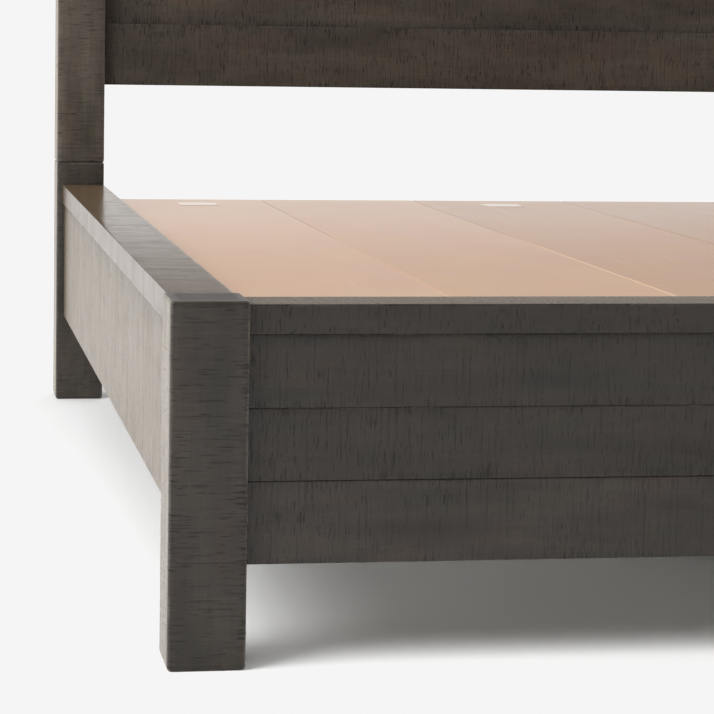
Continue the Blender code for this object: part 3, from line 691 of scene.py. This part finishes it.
# The cap's top is sanded smoother than the board's face, so it mirrors what stands at its far end. The ticks
# on both are 6 mm apart and up to 80 or 120 mm long.
cap_wood = stained_sawn_wood("charcoal stained sawn poplar, rail cap", (0, 0, -pi / 2),
                             saw_pitch=0.0030, tick_length=0.040, kerf_pitch=0.014,
                             blotch=(0.020, 0.120), gloss=(0.17, 0.23), sheen=0.15, sheen_tint="f4c48a",
                             tone_spread=0.45, relief_depth=0.0002)
rail_wood = stained_sawn_wood("charcoal stained sawn poplar, rail board", (0, 0, -pi / 2),
                              saw_pitch=0.0030, tick_length=0.060, kerf_pitch=0.014,
                              blotch=(0.035, 0.250), gloss=(0.26, 0.34), sheen_tint="f0d6b2",
                              tone_spread=0.55, relief_depth=0.0002)
long_poplar = planed_poplar("planed poplar, lengthwise", (0, 0, -pi / 2))
for side in ("left", "right"):
    board(f"sawn_side_cap_{side}", f"side_cap_{side}", 1, [cap_wood, end_grain],
          RAIL_STAIN, saw_depth=RAIL_SAW_DEPTH)
    board(f"sawn_side_board_{side}", f"side_board_{side}", 1, [rail_wood, end_grain],
          RAIL_STAIN, saw_depth=RAIL_SAW_DEPTH)
    board(f"planed_side_cleat_{side}", f"side_cleat_{side}", 1, [long_poplar],
          pitch=HIDDEN_RING_PITCH)


# ---------------------------------------------------------------------------------------------------------
# Centre beam, its two seats and the cross slats. Planed poplar, left bare. The beam lies on a seat screwed
# to each end of the frame, and the five slats lie over it from cleat to cleat.
# ---------------------------------------------------------------------------------------------------------
SLAT_COUNT = 5

board("planed_centre_beam", "centre_beam", 1, [long_poplar], pitch=HIDDEN_RING_PITCH)
for end in ("foot", "head"):
    board(f"planed_beam_seat_{end}", f"beam_seat_{end}", 0, [cross_poplar],
          pitch=HIDDEN_RING_PITCH)
for number in range(1, SLAT_COUNT + 1):
    board(f"planed_cross_slat_{number}", f"cross_slat_{number}", 0, [cross_poplar],
          pitch=HIDDEN_RING_PITCH)


# ---------------------------------------------------------------------------------------------------------
# Centre legs. Two square legs of hardwood, stained black, under the beam. Each stands on a levelling foot: a
# moulded black nylon pad on a threaded steel stem that screws up into the leg.
# ---------------------------------------------------------------------------------------------------------
PAD_RADIUS = 0.020
PAD_HEIGHT = 0.008
PAD_CORNER = 0.0012
STEM_RADIUS = 0.004
STEM_LENGTH = 0.035
THREAD_PITCH = 0.00125
THREAD_DEPTH = 0.0007
TURNED_SIDES = 48
HARDWOOD_DARK = "191715"
HARDWOOD_LIGHT = "2c2926"
NYLON_DARK = "121213"
NYLON_LIGHT = "1d1d1f"
NYLON_IOR = 1.53

# Close-grained hardwood under black stain: nearly black, with a low sheen and faint upright grain. Real grain
# is too fine to show, so it is drawn 1.5 mm wide.
black_hardwood, add = new_material("black stained hardwood")
place = add("TexCoord")["Object"]
fibres = add("VectorMath", {0: place, 1: (0.0015, 0.0015, 0.060)}, operation="DIVIDE")[0]
grain = add("TexNoise", {"Vector": fibres, "Scale": 1.0, "Detail": 4.0})[0]
base = add("ValToRGB", {0: grain}, [(0.30, HARDWOOD_DARK), (0.70, HARDWOOD_LIGHT)])[0]
dull = add("MapRange", {0: grain, 3: 0.38, 4: 0.52})[0]
bump = add("Bump", {"Strength": 0.5, "Distance": 0.0002, "Height": grain})[0]
shader = add("BsdfPrincipled", {"Base Color": base, "Roughness": dull, "IOR": WOOD_IOR, "Normal": bump})
add("OutputMaterial", {"Surface": shader[0]})

# Moulded nylon: black, with the fine grit of a spark-eroded mould, which scatters the light. Real grit is
# about 0.05 mm across, which is too fine to show, so it is drawn 0.7 mm across.
black_nylon, add = new_material("moulded black nylon")
place = add("TexCoord")["Object"]
grit = add("TexNoise", {"Vector": place, "Scale": 1400.0, "Detail": 2.0})[0]
base = add("ValToRGB", {0: grit}, [(0.35, NYLON_DARK), (0.65, NYLON_LIGHT)])[0]
bump = add("Bump", {"Strength": 0.4, "Distance": 0.0001, "Height": grit})[0]
shader = add("BsdfPrincipled", {"Base Color": base, "Roughness": 0.46, "IOR": NYLON_IOR, "Normal": bump})
add("OutputMaterial", {"Surface": shader[0]})


def levelling_foot(name, node):
    """A pad and its threaded stem, spun round the stem's axis, with steel above the pad."""
    low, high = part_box(node)
    middle = (low + high) / 2
    profile = [(0.0, 0.0), (PAD_RADIUS - PAD_CORNER, 0.0), (PAD_RADIUS, PAD_CORNER),
               (PAD_RADIUS, PAD_HEIGHT / 2), (PAD_RADIUS - PAD_CORNER, PAD_HEIGHT - PAD_CORNER),
               (STEM_RADIUS * 2, PAD_HEIGHT), (STEM_RADIUS, PAD_HEIGHT)]
    turns = int((STEM_LENGTH - THREAD_PITCH) / THREAD_PITCH)
    for turn in range(turns):
        bottom = PAD_HEIGHT + (turn + 0.5) * THREAD_PITCH
        profile += [(STEM_RADIUS - THREAD_DEPTH, bottom), (STEM_RADIUS, bottom + THREAD_PITCH / 2)]
    profile += [(STEM_RADIUS - THREAD_DEPTH, PAD_HEIGHT + STEM_LENGTH), (0.0, PAD_HEIGHT + STEM_LENGTH)]
    mesh = bmesh.new()
    corners = [mesh.verts.new((middle.x + radius, middle.y, low.z + height)) for radius, height in profile]
    edges = [mesh.edges.new(pair) for pair in zip(corners, corners[1:])]
    bmesh.ops.spin(mesh, geom=corners + edges, cent=(middle.x, middle.y, 0.0), axis=(0, 0, 1), angle=2 * pi,
                   steps=TURNED_SIDES, use_merge=True)
    bmesh.ops.remove_doubles(mesh, verts=mesh.verts, dist=CUT_TOLERANCE)
    bmesh.ops.recalc_face_normals(mesh, faces=mesh.faces)
    piece = finish_piece(name, mesh, [black_nylon], node)
    piece.data.materials.append(bright_zinc)
    for face in piece.data.polygons:
        face.material_index = int(face.center.z > low.z + PAD_HEIGHT)
    return piece


for end in ("foot", "head"):
    frame["nodes"][f"centre_leg_{end}"].data.materials[0] = black_hardwood
    levelling_foot(f"nylon_levelling_foot_{end}", f"leveller_{end}")


# ---------------------------------------------------------------------------------------------------------
# Deck. Five panels of thin plywood side by side, sanded and sealed with a clear satin finish, pinkish tan on
# top, with a pale line along each left edge that is partly the cut edge and partly a painted highlight.
# They lie loose on the slats between the side rails.
# ---------------------------------------------------------------------------------------------------------
DECK_ARRIS = 0.0012
DECK_RING_PITCH = 0.060
# Each panel's tone, from left to right: they grow darker towards the right.
DECK_TONES = (1.05, 1.00, 0.89, 0.83, 0.80)
# How strongly the pale line along each panel's left edge shows: partly the pale cut edge, and partly a
# painted highlight, stronger on some seams than on others.
DECK_EDGE_AND_HIGHLIGHT = (0.2, 0.30, 0.85, 0.25, 0.25)
DECK_PINK = "c2977b"
DECK_TAN = "c39c7a"
DECK_REFLECTION_TINT = (1.0, 1.07, 1.16, 1.0)
SCUFF_COLOUR = "e6d2c2"
FOOT_END_EDGE_AND_HIGHLIGHT = "e0c09f"
HEAD_END_EDGE = "a58870"
DECK_UNDERSIDE = "cfcfcf"
SEALER_IOR = 1.5
VENEER_SHIFT = 13.7

# Plywood under clear satin sealer: a flat pinkish tan with hardly any figure, and a soft shine.
deck_ply, add = new_material("sanded and sealed tan plywood")
place = add("TexCoord")["Object"]
centre = add("Attribute", attribute_name="board_centre")["Vector"]
half = add("Attribute", attribute_name="board_half")["Vector"]
tone = add("Attribute", attribute_name="board_stain_and_light")["Fac"]
local = add("VectorMath", {0: place, 1: centre}, operation="SUBTRACT")[0]
shift = add("VectorMath", {0: centre, "Scale": VENEER_SHIFT}, operation="SCALE")[0]
stock = add("VectorMath", {0: local, 1: shift}, operation="ADD")[0]
# Veneer figure: clouds 150 mm across, wisps 75 by 35 mm, and fine fibres that run across the sheet, drawn
# 3 mm wide because real ones are too fine to show.
cells = add("VectorMath", {0: stock, 1: (0.140, 0.150, 0.1)}, operation="DIVIDE")[0]
clouds = add("TexNoise", {"Vector": cells, "Scale": 1.0, "Detail": 2.0})[0]
cells = add("VectorMath", {0: stock, 1: (0.075, 0.035, 0.1)}, operation="DIVIDE")[0]
wisps = add("TexNoise", {"Vector": cells, "Scale": 1.0, "Detail": 3.0})[0]
cells = add("VectorMath", {0: stock, 1: (0.120, 0.003, 0.1)}, operation="DIVIDE")[0]
fibres = add("TexNoise", {"Vector": cells, "Scale": 1.0, "Detail": 2.0})[0]
top = add("ValToRGB", {0: clouds}, [(0.35, DECK_PINK), (0.65, DECK_TAN)])[0]
figure = add("Math", {0: wisps, 1: fibres}, operation="ADD")[0]
shade = add("MapRange", {0: figure, 1: 0.70, 2: 1.30, 3: 0.95, 4: 1.05})[0]
shade = add("Math", {0: shade, 1: tone}, operation="MULTIPLY")[0]
top = add("VectorMath", {0: top, "Scale": shade}, operation="SCALE")[0]
# The left-hand sheets are drawn greyer: a painted reflection of the white room, which pales them.
painted_reflection = add("MapRange", {0: tone, 1: 0.93, 2: 1.08})[0]
top = add("Mix", {0: painted_reflection, 6: top, 7: DECK_REFLECTION_TINT}, data_type="RGBA", blend_type="MULTIPLY")[2]
# Faint pale scuffs along the sheets, where mattresses have been dragged over them.
cells = add("VectorMath", {0: stock, 1: (0.011, 0.45, 0.1)}, operation="DIVIDE")[0]
scuffs = add("TexNoise", {"Vector": cells, "Scale": 1.0, "Detail": 1.0})[0]
scuffs = add("MapRange", {0: scuffs, 1: 0.66, 2: 0.76, 3: 0.0, 4: 0.16}, interpolation_type="SMOOTHSTEP")[0]
top = add("Mix", {0: scuffs, 6: top, 7: linear(SCUFF_COLOUR)}, data_type="RGBA")[2]
# Along the left cut edge, a pale line towards the foot, partly the cut edge and partly a painted highlight,
# and a darker one towards the head.
from_left = add("SeparateXYZ", {0: add("VectorMath", {0: local, 1: half}, operation="ADD")[0]})
at_edge = add("MapRange", {0: from_left["X"], 1: 0.0008, 2: 0.0020, 3: 1.0, 4: 0.0},
              interpolation_type="SMOOTHSTEP")[0]
edge_and_highlight = add("Attribute", attribute_name="board_pale_edge_and_highlight")["Fac"]
at_edge = add("Math", {0: at_edge, 1: edge_and_highlight}, operation="MULTIPLY")[0]
edge_tint = add("MapRange", {0: from_left["Y"], 1: 0.9, 2: 1.4}, interpolation_type="SMOOTHSTEP")[0]
edge_tint = add("Mix", {0: edge_tint, 6: linear(FOOT_END_EDGE_AND_HIGHLIGHT), 7: linear(HEAD_END_EDGE)}, data_type="RGBA")[2]
top = add("Mix", {0: at_edge, 6: top, 7: edge_tint}, data_type="RGBA")[2]
facing = add("SeparateXYZ", {0: add("NewGeometry")["Normal"]})["Z"]
facing = add("MapRange", {0: facing, 1: -0.2, 2: 0.2})[0]
base = add("Mix", {0: facing, 6: linear(DECK_UNDERSIDE), 7: top}, data_type="RGBA")[2]
dull = add("MapRange", {0: wisps, 1: 0.3, 2: 0.7, 3: 0.29, 4: 0.33})[0]
shader = add("BsdfPrincipled", {"Base Color": base, "Roughness": dull, "IOR": SEALER_IOR,
                                "Sheen Weight": 0.08, "Sheen Roughness": 0.30})
add("OutputMaterial", {"Surface": shader[0]})

for number, (tone, edge) in enumerate(zip(DECK_TONES, DECK_EDGE_AND_HIGHLIGHT), start=1):
    board(f"plywood_deck_panel_{number}", f"deck_panel_{number}", 1, [deck_ply], tone, edge,
          arris=DECK_ARRIS, pitch=DECK_RING_PITCH, saw_depth=0.0)


# ---------------------------------------------------------------------------------------------------------
# Deck patches. Three pads of looped polyester, the soft half of a hook-and-loop fastening, glued to the
# deck near the head end to keep a mattress from creeping.
# ---------------------------------------------------------------------------------------------------------
PATCH_CORNER = 0.008
PATCH_CELLS = (50, 42)
PILE_DEPTH = 0.0006
TUFT_LENGTH = 0.0025
LOOP_LIGHT = "f4e8dd"
LOOP_SHADE = "dccdbf"
POLYESTER_IOR = 1.45

# Looped pile: off-white and quite matt, with a soft bloom from the loops. Real ones are about 0.5 mm apart,
# which is too fine to show, so they are drawn 1.5 mm apart.
loop_pile, add = new_material("off-white looped pile")
place = add("TexCoord")["Object"]
loops = add("TexVoronoi", {"Vector": place, "Scale": 650.0})[0]
base = add("ValToRGB", {0: loops}, [(0.0, LOOP_LIGHT), (0.8, LOOP_SHADE)])[0]
bump = add("Bump", {"Strength": 0.7, "Distance": 0.0003, "Height": loops}, invert=True)[0]
shader = add("BsdfPrincipled", {"Base Color": base, "Roughness": 0.92, "IOR": POLYESTER_IOR, "Normal": bump,
                                "Sheen Weight": 0.35, "Sheen Roughness": 0.5})
add("OutputMaterial", {"Surface": shader[0]})


def looped_patch(name, node):
    """A thin pad with rounded corners and an uneven pile."""
    low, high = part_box(node)
    middle = (low + high) / 2
    half = (high - low) / 2
    mesh = bmesh.new()
    bmesh.ops.create_grid(mesh, x_segments=PATCH_CELLS[0], y_segments=PATCH_CELLS[1], size=1.0)
    bmesh.ops.scale(mesh, vec=(half.x, half.y, 1.0), verts=mesh.verts)
    for vert in mesh.verts:
        corner = Vector((abs(vert.co.x) - half.x + PATCH_CORNER, abs(vert.co.y) - half.y + PATCH_CORNER))
        if corner.x > 0 and corner.y > 0:
            pulled = corner * (max(corner) / corner.length)
            vert.co.x += (pulled.x - corner.x) * (1 if vert.co.x > 0 else -1)
            vert.co.y += (pulled.y - corner.y) * (1 if vert.co.y > 0 else -1)
    pushed = bmesh.ops.extrude_face_region(mesh, geom=mesh.faces[:])["geom"]
    pile = [item for item in pushed if isinstance(item, bmesh.types.BMVert)]
    for vert in pile:
        rough = 0.5 + 0.5 * noise.noise(Vector((vert.co.x, vert.co.y, middle.x)) / TUFT_LENGTH)
        rim = min(half.x - abs(vert.co.x), half.y - abs(vert.co.y))
        drop = PILE_DEPTH if rim < CUT_TOLERANCE else PILE_DEPTH * min(1.0, max(0.0, rough))
        vert.co.z += (high.z - low.z) - drop
    bmesh.ops.translate(mesh, vec=(middle.x, middle.y, low.z), verts=mesh.verts)
    bmesh.ops.recalc_face_normals(mesh, faces=mesh.faces)
    return finish_piece(name, mesh, [loop_pile], node)


for place in ("left", "middle", "right"):
    looped_patch(f"looped_patch_{place}", f"deck_patch_{place}")


# ---------------------------------------------------------------------------------------------------------
# Corner brackets. Folded steel angles, black zinc-plated, inside the four corners. Two socket-head bolts of
# bright zinc-plated steel pull each one to its post.
# ---------------------------------------------------------------------------------------------------------
BLACK_ZINC = "3b3b40"
black_zinc = zinc_steel("black zinc-plated steel", BLACK_ZINC, 0.40)
for end in ("front", "back"):
    for side in ("left", "right"):
        frame["nodes"][f"corner_bracket_{end}_{side}"].data.materials[0] = black_zinc
        for level in ("lower", "upper"):
            frame["nodes"][f"bolt_{end}_{side}_{level}"].data.materials[0] = bright_zinc
